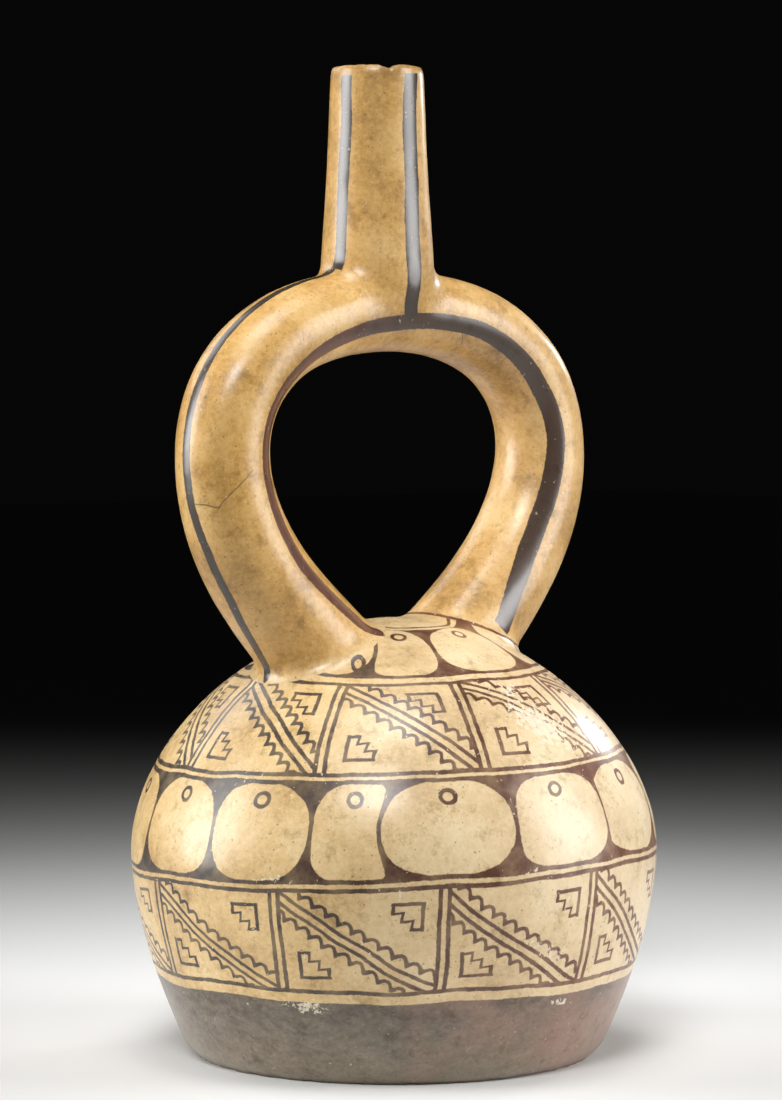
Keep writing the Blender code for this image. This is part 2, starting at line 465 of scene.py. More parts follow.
painting = {
    "facing": 42,  # degrees from -Y to the longitude that is called 0
    "line": 1.3,  # mm, width of a long line; the motifs are finer
    "diagonalLine": 1.15,
    "waveLine": 1.1,
    "fretLine": 1.2,
    "doubleLines": [(114.9, 112.9), (89.3, 87.3), (60.5, 58.0)],  # heights in mm
    "footLine": 28.2,
    "darkSlip": 24.9,  # below this the pot was dipped in dark slip
    "upperFrom": 10,  # degrees up the wall where the upper panels may begin
    "collarFrom": 35,
    "tilt": [(28, 0.005), (60, 0.037)],  # the bands climb towards the right
    # the lower and the upper band: panels, longitude of the first, heights of foot and head
    "panels": [(10, -61.5, 28.2, 58.0), (9, -58, 89.3, 112.9)],
    "panelHeight": 31,
    "dividerGap": 1.3,  # half the gap of the double upright
    "diagonalGap": 1.35,
    "wavePeriod": 4.5,
    "waveHeight": 2.1,
    "waveAside": 4.3,  # from the middle of the diagonal
    "fretCorner": (7.0, 4.4),  # from the upright's middle and the line below
    "fretStep": 2.75,
    "fretSquash": 1.15,  # a fret is wider than it is tall
    "toothDepth": 1.3,
    "fretLean": 0.65,  # brings the stair's slanting distance back to mm
    # how far the hand strays, each panel and bean by its own share: mm, and a power's part
    "slips": {"bow": 1.6, "diagonal": 1.8, "wave": 3, "fret": 1.4, "bean": 1.2, "ring": 3},
    "beans": [(60.5, 87.3), (114.9, 126.2)],  # heights of the belly's band and of the collar
    # longitude of each neck between two beans, and the beans counted so far
    "bellyNecks": [(53.7, 0), (293.5, 10), (317.5, 11), (340.6, 12), (359.8, 13), (385, 14), (413.7, 15)],
    "collarNecks": [(-48, 0), (-11, 1), (23, 2), (66, 3), (100, 4), (132, 5)],
    "crownNecks": [(-48, 0), (-18, 1), (22, 2), (100, 3), (118, 4), (132, 5)],
    "neckSway": 0.17,  # of a bean's width
    "neckRhythm": (2.4, 1.787),  # of the sine that picks the swaying necks
    "beanHalf": 13,  # mm, half a bean's height
    "bandTall": 28,  # mm, all that the beans' brown ground may cover
    "beanFullness": (2.75, 5),  # a superellipse's power, and what a pinched side adds
    "ringRadius": 2.0,
    "ringLine": 1.2,
    "ringDrop": 5.2,
    "crownRing": 16.2,  # mm, radius of the line round the crown
    "crownLine": 1.0,
    "footEye": (-10.4, 0, 118.1),  # mm right of the axis, and up
    "footEyeRadius": 1.7,
    "footGap": -2.5,  # mm up the left leg's foot, where the ink ends
    "footBand": 2.4,  # and up the right one's
    "wavers": [(26, 2.8), (4.5, 0.5)],  # mm, of the arm and of the brush: length, sway
    "bristle": 0.5,  # mm, raggedness of a stroke's edge
    "softEdge": 0.15,  # mm on either side of that edge
    "apart": 9,  # mm, farther than a brush line reaches
}


def latitudeOf(height):
    # degrees up the wall, seen from the middle of the widest line; height in mm
    return math.degrees(math.atan2(height - chamber["widestHeight"] / mm, chamberRadius(height * mm) / mm))


def drawLines(add, place):
    # signed distance in mm to the horizontal lines
    nearest = add("Math SUBTRACT", place["latitude"], latitudeOf(painting["footLine"]))
    nearest = add("Math ABSOLUTE", nearest)
    for top, bottom in painting["doubleLines"]:
        top, bottom = latitudeOf(top), latitudeOf(bottom)
        away = strokeEdge(add, place["latitude"], top - bottom, (top + bottom) / 2)
        away = add("Math ABSOLUTE", away)
        nearest = add("Math MINIMUM", nearest, away)
    return add("Math MULTIPLY_ADD", nearest, place["mmPerDegree"], -painting["line"] / 2)


def panelSlant(count, foot, head):
    # the diagonal on the unrolled panel, whose top is narrower than its bottom on the shoulder:
    # its unit normal, and how far it passes from the middle of the panel's lower edge
    footWidth, headWidth = [math.tau / count * chamberRadius(z * mm) / mm for z in (foot, head)]
    meanWidth = (footWidth + headWidth) / 2
    length = math.hypot(meanWidth, painting["panelHeight"])
    return (painting["panelHeight"] / length, meanWidth / length,
            -painting["panelHeight"] * footWidth / 2 / length)


def panelBow(count, foot, head):
    # mm that a stroke drawn straight across the curved wall rises over the unrolled panel's diagonal
    middle = (foot + head) / 2
    turn = math.radians(latitudeOf(middle))
    reach = math.hypot(chamberRadius(middle * mm) / mm, middle - chamber["widestHeight"] / mm)
    return reach * math.cos(turn) * math.sin(turn) * (1 - math.cos(math.pi / count))


def drawPanels(add, place):
    # the upper and the lower band share one drawing: the band picks its count, start and heights
    tall, slips, bands = painting["panelHeight"], painting["slips"], painting["panels"]
    isUpper = add("Math GREATER_THAN", place["latitude"], painting["upperFrom"])
    step, start, foot, head = [add("Mix FLOAT", isUpper, *pair) for pair in zip(*[
        (360 / count, start, latitudeOf(foot), latitudeOf(head)) for count, start, foot, head in bands])]
    turns = add("Math SUBTRACT", place["longitude"], start)
    turns = add("Math DIVIDE", turns, step)
    across = add("Math FRACT", turns)
    up = add("MapRange", place["latitude"], foot, head, 0, 1, clamp=False)
    # each panel has its own slips of the hand
    count = add("Math DIVIDE", 360, step)
    number = add("Math FLOOR", turns)
    number = add("Math FLOORED_MODULO", number, count)
    number = add("Math MULTIPLY_ADD", isUpper, 31, number)
    chance = add("TexWhiteNoise", number, noise_dimensions="1D")
    chance = add("SeparateColor", chance.outputs["Color"])
    # double uprights between the panels
    halfTurn = add("Math PINGPONG", turns, 0.5)
    widthHere = add("Math MULTIPLY", place["ring"], step)
    widthHere = add("Math MULTIPLY", widthHere, math.radians(1))
    edge = add("Math MULTIPLY_ADD", halfTurn, widthHere, -painting["dividerGap"])
    upright = strokeEdge(add, edge, painting["line"])
    # double diagonal from the upper left to the lower right corner
    x = add("Math SUBTRACT", across, 0.5)
    x = add("Math MULTIPLY", x, widthHere)
    y = add("Math MULTIPLY", up, tall)
    slant = add("Mix VECTOR", isUpper, *[panelSlant(count, *ends) for count, _, *ends in bands])
    bow = add("Mix FLOAT", isUpper, *[panelBow(count, *ends) for count, _, *ends in bands])
    bow = add("Math MULTIPLY_ADD", chance.outputs[1], -slips["bow"], bow)
    dip = add("Math SUBTRACT", across, 0.5)
    dip = add("Math MULTIPLY", dip, 2)
    dip = add("Math MULTIPLY_ADD", dip, dip, -1.0)
    yBowed = add("Math MULTIPLY_ADD", dip, bow, y)
    spot = add("CombineXYZ", x, yBowed, 1)
    aside = add("VectorMath DOT_PRODUCT", spot, slant)
    wander = add("Math MULTIPLY_ADD", chance.outputs[0], slips["diagonal"], 0.1)
    aside = add("Math ADD", aside, wander)
    diagonal = strokeEdge(add, aside, 2 * painting["diagonalGap"])
    diagonal = strokeEdge(add, diagonal, painting["diagonalLine"])
    # a row of humps on either side of it, all leaning the same way
    slant = add("SeparateXYZ", slant)
    fall = add("Math MULTIPLY", y, slant.outputs["X"])
    along = add("Math MULTIPLY", x, slant.outputs["Y"])
    along = add("Math SUBTRACT", along, fall)
    swing = add("Math MULTIPLY", along, math.pi / painting["wavePeriod"])
    swing = add("Math MULTIPLY_ADD", chance.outputs[1], slips["wave"], swing)
    hump = add("Math SINE", swing)
    hump = add("Math MULTIPLY_ADD", hump, hump, 0.05)
    hump = add("Math SQRT", hump)
    wave = add("Math MULTIPLY_ADD", hump, -painting["waveHeight"], aside)
    wave = strokeEdge(add, wave, 2 * painting["waveAside"], -painting["waveHeight"] / 2)
    wave = add("Math ABSOLUTE", wave)
    steep = add("Math POWER", hump, 2)
    slope = painting["waveHeight"] * math.pi / painting["wavePeriod"]
    steep = add("Math MULTIPLY_ADD", steep, -slope * slope, 1 + slope * slope)
    steep = add("Math SQRT", steep)
    wave = add("Math DIVIDE", wave, steep)
    wave = add("Math SUBTRACT", wave, painting["waveLine"] / 2)
    # a stepped fret in the lower left, and its turned twin in the upper right
    isTwin = add("Math GREATER_THAN", aside, 0)
    fretX, fretY = [add("Mix FLOAT", isTwin, value, add("Math SUBTRACT", whole, value))
                    for whole, value in ((1, across), (tall, y))]
    room = add("Math MULTIPLY_ADD", chance.outputs[2], slips["fret"], -painting["fretCorner"][0])
    fretX = add("Math MULTIPLY_ADD", fretX, widthHere, room)
    squash, lean, stepSize = painting["fretSquash"], painting["fretLean"], painting["fretStep"]
    fretY = add("Math MULTIPLY_ADD", fretY, squash, -squash * painting["fretCorner"][1])
    spread = add("Math SUBTRACT", fretX, fretY)
    tooth = add("Math ADD", spread, 3 * stepSize)
    tooth = add("Math PINGPONG", tooth, stepSize)
    stair = add("Math ADD", fretX, fretY)
    stair = add("Math MULTIPLY_ADD", tooth, -painting["toothDepth"], stair)
    stair = add("Math MULTIPLY_ADD", stair, lean, -3 * stepSize * lean)
    far = add("Math MAXIMUM", fretX, fretY)
    far = add("Math SUBTRACT", far, 3.05 * stepSize)
    near = add("Math MINIMUM", fretX, fretY)
    near = add("Math MULTIPLY", near, -1)
    corner = add("Math MAXIMUM", near, far)
    fret = add("Math MAXIMUM", stair, corner)
    fret = strokeEdge(add, fret, painting["fretLine"])
    # all of it stays inside its panel
    motif = nearestOf(add, diagonal, wave, fret)
    outside = add("Math MULTIPLY", edge, -1)
    motif = add("Math MAXIMUM", motif, outside)
    drawn = add("Math MINIMUM", upright, motif)
    beyond = add("Math SUBTRACT", up, 0.5)
    beyond = add("Math ABSOLUTE", beyond)
    beyond = add("Math MULTIPLY_ADD", beyond, tall, -tall / 2)
    return add("Math MAXIMUM", drawn, beyond)


def countBeans(add, longitude, upper, isCollar):
    # how many beans lie before this longitude; the collar's five repeat behind the stirrup
    belly, collar, crown = [painting[n] for n in ("bellyNecks", "collarNecks", "crownNecks")]
    front = add("Math WRAP", longitude, belly[-1][0], belly[0][0])
    half = add("Math WRAP", longitude, collar[-1][0], collar[0][0])
    onCollar = add("Mix FLOAT", upper, follow(add, half, collar), follow(add, half, crown))
    return add("Mix FLOAT", isCollar, follow(add, front, belly), onCollar)


def drawBeans(add, place):
    # lima beans left cream in a brown ground: a wide band on the belly, a collar round the legs
    isCollar = add("Math GREATER_THAN", place["latitude"], painting["collarFrom"])
    foot, head = [add("Mix FLOAT", isCollar, latitudeOf(belly), latitudeOf(collar))
                  for belly, collar in zip(*painting["beans"])]
    up = add("MapRange", place["latitude"], foot, head, -0.5, 0.5, clamp=False)
    # beans counted round the pot, wider and narrower as the painter left them
    upper = add("Math ADD", up, 0.5)
    turns = countBeans(add, place["longitude"], upper, isCollar)
    beyond = add("Math ADD", place["longitude"], 1)
    widthHere = countBeans(add, beyond, upper, isCollar)
    widthHere = add("Math SUBTRACT", widthHere, turns)
    widthHere = add("Math FRACT", widthHere)
    widthHere = add("Math MAXIMUM", widthHere, 0.005)
    widthHere = add("Math DIVIDE", math.radians(1), widthHere)
    widthHere = add("Math MULTIPLY", widthHere, place["ring"])
    ringX = add("Math FRACT", turns)
    ringX = add("Math SUBTRACT", ringX, 0.5)
    # some of the necks sway to one side, and the neighbouring bean fills the hollow
    side = add("Math ROUND", turns)
    sway = add("Math MULTIPLY_ADD", side, *painting["neckRhythm"])
    sway = add("Math SINE", sway)
    sway = add("Math POWER", sway, 3)
    sway = add("Math MULTIPLY", sway, painting["neckSway"])
    waist = add("Math MULTIPLY", up, 3.1)
    waist = add("Math COSINE", waist)
    turns = add("Math MULTIPLY_ADD", sway, waist, turns)
    number = add("Math FLOOR", turns)
    number = add("Math MULTIPLY_ADD", isCollar, 57, number)
    chance = add("TexWhiteNoise", number, noise_dimensions="1D")
    chance = add("SeparateColor", chance.outputs["Color"])
    across = add("Math FRACT", turns)
    across = add("Math SUBTRACT", across, 0.5)
    # the bean: a superellipse, fuller below than above
    power, pinch = painting["beanFullness"]
    fullness = add("Math MULTIPLY_ADD", chance.outputs[0], painting["slips"]["bean"], -1.0)
    fullness = add("Math MULTIPLY_ADD", fullness, up, power)
    pinched = add("Math SIGN", across)
    pinched = add("Math MULTIPLY", pinched, sway)
    pinched = add("MapRange", pinched, 0.08, painting["neckSway"], 0, pinch)
    fullness = add("Math ADD", fullness, pinched)
    wide = add("Math ABSOLUTE", across)
    neck = add("Math DIVIDE", painting["line"] / 2, widthHere)
    wide = add("Math ADD", wide, neck)
    wide = add("Math MULTIPLY", wide, 2)
    wide = add("Math POWER", wide, fullness)
    tall = add("Math ABSOLUTE", up)
    tall = add("Math MULTIPLY", tall, 1 / 0.49)
    tall = add("Math POWER", tall, fullness)
    bean = add("Math ADD", wide, tall)
    root = add("Math DIVIDE", 1, fullness)
    bean = add("Math POWER", bean, root)
    ground = add("Math MULTIPLY_ADD", bean, -painting["beanHalf"], painting["beanHalf"])
    # the ring is the bean's eye
    stray = painting["slips"]["ring"]
    ringX = add("Math MULTIPLY_ADD", ringX, widthHere, -stray / 2)
    ringX = add("Math MULTIPLY_ADD", chance.outputs[1], stray, ringX)
    ringY = add("Math SUBTRACT", head, place["latitude"])
    ringY = add("Math MULTIPLY_ADD", ringY, place["mmPerDegree"], -painting["ringDrop"])
    ring = lengthOf(add, ringX, ringY)
    ring = strokeEdge(add, ring, painting["ringLine"], painting["ringRadius"])
    beyond = add("Math ABSOLUTE", up)
    beyond = add("Math MULTIPLY_ADD", beyond, painting["bandTall"], -painting["bandTall"] / 2)
    ground = add("Math MAXIMUM", ground, beyond)
    return add("Math MINIMUM", ground, ring)


stripes = {
    "outerWidth": 3.2,  # mm, along the top of the stirrup
    # degrees round the tube towards the back, by the length along it from the crown
    "outerTurn": [(-146, 3), (-135, -5), (-120, -12), (-106, -10), (-95, -3), (-77, 0), (-30, -3),
                  (150, 0)],
    "outerEnd": 146,  # mm from the crown to its rounded tip
    # degrees round the tube from its outer line, by the length along it from the crown
    "innerTurn": [(-160, 130), (-123, 114), (-80, 118), (-50, 118), (-28, 111), (0, 104), (26, 102),
                  (60, 113), (80, 111), (92, 115), (110, 118), (122, 115), (134, 106), (146, 93)],
    "innerWidth": [(-160, 4.6), (20, 5.0), (90, 6.2), (150, 6.6)],
    "innerEnds": (-159, 148),
    "sideTurn": -41,  # round the spout, from the longitude called 0
    "sideWidth": 4.2,
    "frontTurn": [(214, 50), (222, 40), (251, 40), (289, 46)],  # height, degrees
    "frontWidth": 5.6,
    "lipEnd": 288.2,  # height
    "frontEnd": 214.5,  # height where it meets the inner stripe
    "rounding": (2.0, 1.5),  # mm, at the tips of the outer and the inner stripe
    "footOverlap": 4,  # mm that they run on past the feet
}


def drawStripes(add, place):
    # signed distance in mm to the burnished stripes of the stirrup and the spout
    outward, depth, along = place["tube"].outputs
    eitherSide = add("Math ABSOLUTE", depth)
    away = lengthOf(add, outward, eitherSide)
    turn = add("Math ARCTAN2", eitherSide, outward)
    outer = add("Math ARCTAN2", depth, outward)
    course = follow(add, along, stripes["outerTurn"])
    outer = add("Math MULTIPLY_ADD", course, math.radians(-1), outer)
    outer = add("Math ABSOLUTE", outer)
    outer = add("Math MULTIPLY_ADD", outer, away, -stripes["outerWidth"] / 2)
    onSpout = add("Attribute", attribute_name="onSpout", attribute_type="GEOMETRY").outputs["Fac"]
    outer = add("Math MAXIMUM", outer, onSpout)
    tip = add("Math ABSOLUTE", along)
    tip = add("Math SUBTRACT", tip, stripes["outerEnd"])
    outer = add("Math SMOOTH_MAX", outer, tip, stripes["rounding"][0])
    inner = follow(add, along, stripes["innerTurn"])
    inner = add("Math MULTIPLY_ADD", inner, math.radians(-1), turn)
    inner = add("Math ABSOLUTE", inner)
    inner = add("Math MULTIPLY", inner, away)
    width = follow(add, along, stripes["innerWidth"])
    inner = add("Math MULTIPLY_ADD", width, -0.5, inner)
    first, last = stripes["innerEnds"]
    tip = strokeEdge(add, along, last - first, (first + last) / 2)
    inner = add("Math SMOOTH_MAX", inner, tip, stripes["rounding"][1])
    drawn = add("Math MINIMUM", outer, inner)
    offLeg = add("Math SUBTRACT", -stripes["footOverlap"], place["onLeg"])
    drawn = add("Math MAXIMUM", drawn, offLeg)
    # the spout's own stripes, each with its twin on the far side
    facing = math.radians(painting["facing"])
    shift = spout["shift"] / mm
    aside = shift.x * math.cos(facing) - shift.y * math.sin(facing)
    back = shift.x * math.sin(facing) + shift.y * math.cos(facing)
    x = add("Math SUBTRACT", place["x"], aside)
    y = add("Math SUBTRACT", back, place["y"])
    turn = angleOf(add, x, y)
    reach = add("Math MULTIPLY", lengthOf(add, x, y), math.radians(1))
    # a twin sits half a turn away, so the distance folds at a quarter turn
    side = add("Math SUBTRACT", turn, stripes["sideTurn"])
    side = add("Math PINGPONG", side, 90)
    side = add("Math MULTIPLY_ADD", side, reach, -stripes["sideWidth"] / 2)
    offSpout = add("Math MULTIPLY", onSpout, -1)
    side = add("Math MAXIMUM", side, offSpout)
    front = follow(add, place["z"], stripes["frontTurn"])
    front = add("Math SUBTRACT", turn, front)
    front = add("Math PINGPONG", front, 90)
    front = add("Math MULTIPLY_ADD", front, reach, -stripes["frontWidth"] / 2)
    under = add("Math SUBTRACT", stripes["frontEnd"], place["z"])
    front = add("Math MAXIMUM", front, under)
    # they end just under the lip
    upright = add("Math MINIMUM", side, front)
    over = add("Math SUBTRACT", place["z"], stripes["lipEnd"])
    upright = add("Math MAXIMUM", upright, over)
    others = add("Math MINIMUM", outer, upright)
    isInner = add("Math LESS_THAN", inner, others)
    return add("Math MINIMUM", drawn, upright), isInner


age = {
    # rubbed and chipped patches on the front: (mm right of the axis, height), half sizes, slope, loss
    "patches": [((41, 101), (15, 4.5), -34, 0.38), ((33, 110), (6, 3), -20, 0.24),
                ((-24, 23.5), (8, 2.2), -6, 0.3), ((47.5, 22.6), (3.5, 1.5), -8, 0.28),
                ((44, 38), (8, 3), -30, 0.22), ((1.5, 56.5), (0.6, 4), 0, 0.34),
                ((-37, 60), (12, 1.5), 4, 0.14), ((40, 62), (10, 2), -4, 0.14)],
    # hairline cracks on the stirrup: (degrees round the tube, mm along it from the crown)
    "cracks": [[(-90, -88.6), (-74, -91.2), (-55, -94), (-40, -96.5), (-22, -95.1), (4, -94.6)],
               [(-128, 22.1), (-112, 19.5), (-96, 17.6)]],
    "crackWidth": 0.26,
    "pores": (1.1, 0.27, 1.2),  # spacing in mm, the largest one's share, raggedness in mm
    "pit": "#4A3A28",
    "stain": "#CEC6AC",
    "bleachedAndSheen": "#F3E6D0",  # what the ground fades to on the right: paler with age, and a painted sheen of the lights
}


def drawPatches(add, place, grain):
    # 1 where the surface is lost: the patches break up into flecks towards their edges
    spread = None
    flat = add("CombineXYZ", place["x"], place["z"], 0)
    for (x, z), (length, width), slope, loss in age["patches"]:
        spot = add("Mapping", flat, (x, z, 0), (0, 0, math.radians(slope)), (length, width, 1),
                   vector_type="TEXTURE")
        spot = add("VectorMath LENGTH", spot)
        spot = add("MapRange", spot, 1.2, 0.1, 0, loss)
        spread = spot if spread is None else add("Math MAXIMUM", spread, spot)
    front = add("Math LESS_THAN", place["y"], 0)
    spread = add("Math MULTIPLY_ADD", spread, front, grain)
    return add("MapRange", spread, 0.68, 0.76, 0, 1)


def drawCracks(add, place, grain):
    # signed distance in mm to the cracks
    outward, depth, along = place["tube"].outputs
    turn = angleOf(add, depth, outward)
    jag = add("Math MULTIPLY_ADD", grain, 2.4, -1.2)
    along = add("Math ADD", along, jag)
    cracks = []
    for points in age["cracks"]:
        first, last = points[0][0], points[-1][0]
        away = add("Math SUBTRACT", along, follow(add, turn, points))
        away = add("Math ABSOLUTE", away)
        end = strokeEdge(add, turn, last - first, (first + last) / 2)
        cracks.append(add("Math MAXIMUM", away, end))
    return add("Math SUBTRACT", nearestOf(add, *cracks), age["crackWidth"] / 2)


clay = {
    "cream": ["#B8945F", "#DBBA82", "#EBD2A3"],  # the fine slip on the chamber
    "ochre": ["#98723A", "#CFA15A", "#E5BF7E"],  # the more burnished slip of stirrup and spout
    "ink": ["#3F332B", "#6C3E29"],  # thin brown slip, redder towards the right
    "stripe": ["#443A31", "#68463A"],  # outside of the stirrup, and inside
    "dark": ["#54483D", "#928571", "#A07A6A"],  # the dipped foot, its grey partly a painted reflection of the pale floor, reddened by the fire in places
    "pale": "#EADDC4",  # bare body where the slip is lost
    "fadingAndSheen": 0.42,  # how far the right side has paled with age and carries a painted sheen
    "dryBrush": 0.78,  # the thinnest cover of a stroke
    "roughness": 0.42,
    "polish": 0.42,  # share of a smooth pebble-burnished film
    "polishRoughness": 0.18,
    "tooth": 0.15 * mm,  # depth of the finest grain
    # clouds of firing, grain and flakes: size in mm, detail, roughness
    "noises": {"cloud": (22, 5.0, 0.6), "fine": (1.7, 4.0, 0.8), "grain": (1.3, 2.0, 0.5),
               "flake": (1.4, 3.0, 0.6), "stroke": (7, 2.0, 0.5), "flush": (30, 2.0, 0.5),
               "stain": (7, 6.0, 0.8), "rough": (1.0, 1.0, 0.5)},
}


def slipPaintedEarthenware():
    # earthenware burnished with a pebble over its slips: satin, with a broad soft highlight
    material = bpy.data.materials.new("slipPaintedEarthenware")
    material.use_nodes = True
    material.node_tree.nodes.clear()
    add = partial(addNode, material.node_tree)
    coords = add("TexCoord")
    # object coordinates in mm, x to the camera's right and y away from it
    point = add("Mapping", coords.outputs["Object"], sockets={
        "Rotation": (0, 0, math.radians(painting["facing"])), "Scale": (1 / mm,) * 3})
    # the line wavers slowly with the arm and trembles finely with the brush
    drawn = point
    for length, sway in painting["wavers"]:
        waver = add("TexNoise", point, sockets={"Scale": 1 / length, "Detail": 1.0})
        waver = add("VectorMath MULTIPLY_ADD", waver.outputs["Color"], (sway,) * 3, (-sway / 2,) * 3)
        drawn = add("VectorMath ADD", drawn, waver)
    noises = {name: add("TexNoise", point, sockets={
        "Scale": 1 / size, "Detail": detail, "Roughness": roughness})
        for name, (size, detail, roughness) in clay["noises"].items()}
    cloud, fine, grain, flake = [noises[name] for name in ("cloud", "fine", "grain", "flake")]
    axes = add("SeparateXYZ", drawn)
    x, y, z = axes.outputs
    ring = lengthOf(add, x, y)
    nearer = add("Math MULTIPLY", y, -1)
    longitude = angleOf(add, x, nearer)
    (lowHeight, lowTilt), (highHeight, highTilt) = painting["tilt"]
    tilt = add("MapRange", z, lowHeight, highHeight, -lowTilt, -highTilt)
    level = add("Math MULTIPLY_ADD", x, tilt, z)
    rise = add("Math SUBTRACT", level, chamber["widestHeight"] / mm)
    latitude = angleOf(add, rise, ring)
    mmPerDegree = add("Math MULTIPLY", lengthOf(add, ring, rise), math.radians(1))
    onLeg = add("Attribute", attribute_name="onLeg", attribute_type="GEOMETRY").outputs["Fac"]
    tube = add("Attribute", attribute_name="tube", attribute_type="GEOMETRY")
    tube = add("SeparateXYZ", tube.outputs["Vector"])
    place = {"x": x, "y": y, "z": z, "ring": ring, "longitude": longitude, "latitude": latitude,
             "mmPerDegree": mmPerDegree, "onLeg": onLeg, "tube": tube}

    crownRing = strokeEdge(add, ring, painting["crownLine"], painting["crownRing"])
    ink = nearestOf(add, drawLines(add, place), drawPanels(add, place), drawBeans(add, place), crownRing)
    # it stops short of the left leg's foot, and ends in a band round the right one's
    apart = painting["apart"]
    isRight = add("Math GREATER_THAN", x, 0)
    limit = add("Mix FLOAT", isRight, painting["footGap"], painting["footBand"])
    offChamber = add("Math SUBTRACT", place["onLeg"], limit)
    band = strokeEdge(add, offChamber, painting["line"], -0.6)
    notRight = add("Math MULTIPLY_ADD", isRight, -apart, apart)
    band = add("Math ADD", band, notRight)
    ink = add("Math MAXIMUM", ink, offChamber)
    # the collar's first bean has its eye on the foot of the left leg
    eye = add("CombineXYZ", x, 0, z)
    eye = add("VectorMath DISTANCE", eye, painting["footEye"])
    eye = strokeEdge(add, eye, painting["ringLine"], painting["footEyeRadius"])
    isBack = add("Math GREATER_THAN", y, 0)
    eye = add("Math MULTIPLY_ADD", isBack, apart, eye)
    ink = nearestOf(add, ink, band, eye)
    # distances in mm turn to covers from 0 to 1, each with the ragged edge of a brush
    soft = painting["softEdge"]
    bristle = add("Math MULTIPLY_ADD", grain, painting["bristle"], -painting["bristle"] / 2)
    ink = add("Math ADD", ink, bristle)
    ink = add("MapRange", ink, soft, -soft, 0, 1, interpolation_type="SMOOTHSTEP")
    stripe, isInner = drawStripes(add, place)
    stripe = add("Math ADD", stripe, bristle)
    stripe = add("MapRange", stripe, soft, -soft, 0, 1, interpolation_type="SMOOTHSTEP")
    dark = add("Math SUBTRACT", latitudeOf(painting["darkSlip"]), latitude)
    dark = add("Math MULTIPLY_ADD", dark, mmPerDegree, bristle)
    dark = add("MapRange", dark, -soft, soft, 0, 1, interpolation_type="SMOOTHSTEP")

    # colours, each slip mottled from burnishing and firing
    mottle = add("Math MULTIPLY_ADD", fine, 0.6, cloud)
    mottle = add("MapRange", mottle, 0.56, 1.04, 0, 1)
    grounds = []
    for name in ("cream", "ochre"):
        ramp = add("ValToRGB", mottle)
        ramp.color_ramp.elements.new(0.5)
        for element, code in zip(ramp.color_ramp.elements, clay[name]):
            element.color = toLinear(code)
        grounds.append(ramp)
    legShare = add("MapRange", onLeg, -3.0, 6.0, 0, 1, interpolation_type="SMOOTHSTEP")
    colour = add("Mix RGBA", legShare, *grounds)
    # the right side grows paler: partly age, partly a painted sheen from the lights
    fadedAndSheen = add("Math MULTIPLY_ADD", cloud, 60, x)
    fadedAndSheen = add("MapRange", fadedAndSheen, 0, 110, 0, clay["fadingAndSheen"])
    unburnished = add("Math MULTIPLY_ADD", legShare, -0.75, 1.0)
    fadedAndSheen = add("Math MULTIPLY", fadedAndSheen, unburnished)
    colour = add("Mix RGBA", fadedAndSheen, colour, toLinear(age["bleachedAndSheen"]))
    redder = add("Math MULTIPLY_ADD", cloud, 60, longitude)
    redder = add("MapRange", redder, 0, 80, 0, 1)
    inkColour = add("Mix RGBA", redder, *[toLinear(c) for c in clay["ink"]])
    # the brush runs dry along a stroke, and small flakes are missing
    stroke = add("Math MULTIPLY_ADD", fine, 0.5, noises["stroke"])
    stroke = add("MapRange", stroke, 0.55, 0.85, clay["dryBrush"], 1.0)
    kept = add("MapRange", flake, 0.69, 0.72, 1, 0.15)
    inkCover = add("Math MULTIPLY", ink, stroke)
    inkCover = add("Math MULTIPLY", inkCover, kept)
    colour = add("Mix RGBA", inkCover, colour, inkColour)
    # the inner stripe is redder, most of all down the left leg
    innerRed = add("Math MULTIPLY", isInner, cloud)
    downLeg = add("MapRange", tube.outputs["Z"], 10, -50, 0.3, 1.5)
    innerRed = add("Math MULTIPLY", innerRed, downLeg)
    innerRed = add("MapRange", innerRed, 0.05, 0.75, 0, 1)
    stripeColour = add("Mix RGBA", innerRed, *[toLinear(c) for c in clay["stripe"]])
    colour = add("Mix RGBA", stripe, colour, stripeColour)
    # the dark slip was wiped on slantwise, and turns grey towards the base: rubbed, and partly a painted
    # reflection of the pale floor
    deep, grey, fired = [toLinear(c) for c in clay["dark"]]
    wiped = add("Mapping", point, sockets={"Rotation": (0, 0.6, 0), "Scale": (0.15, 0.15, 0.3)})
    wiped = add("TexNoise", wiped, sockets={"Scale": 1.0, "Detail": 6.0, "Roughness": 0.8})
    sandy = add("Math MULTIPLY_ADD", grain, 0.35, wiped)
    sandy = add("MapRange", sandy, 0.42, 0.95, 0, 1)
    # greyer towards the base: rubbing, and a painted reflection of the pale floor
    rubbedAndFloorSheen = add("MapRange", z, 22, 3, -0.3, 0.3)
    sandy = add("Math ADD", sandy, rubbedAndFloorSheen)
    darkColour = add("Mix RGBA", sandy, deep, grey)
    flush = add("Math MULTIPLY_ADD", x, 1 / 300, noises["flush"])
    flush = add("MapRange", flush, 0.55, 0.75, 0, 0.6)
    darkColour = add("Mix RGBA", flush, darkColour, fired)
    colour = add("Mix RGBA", dark, colour, darkColour)

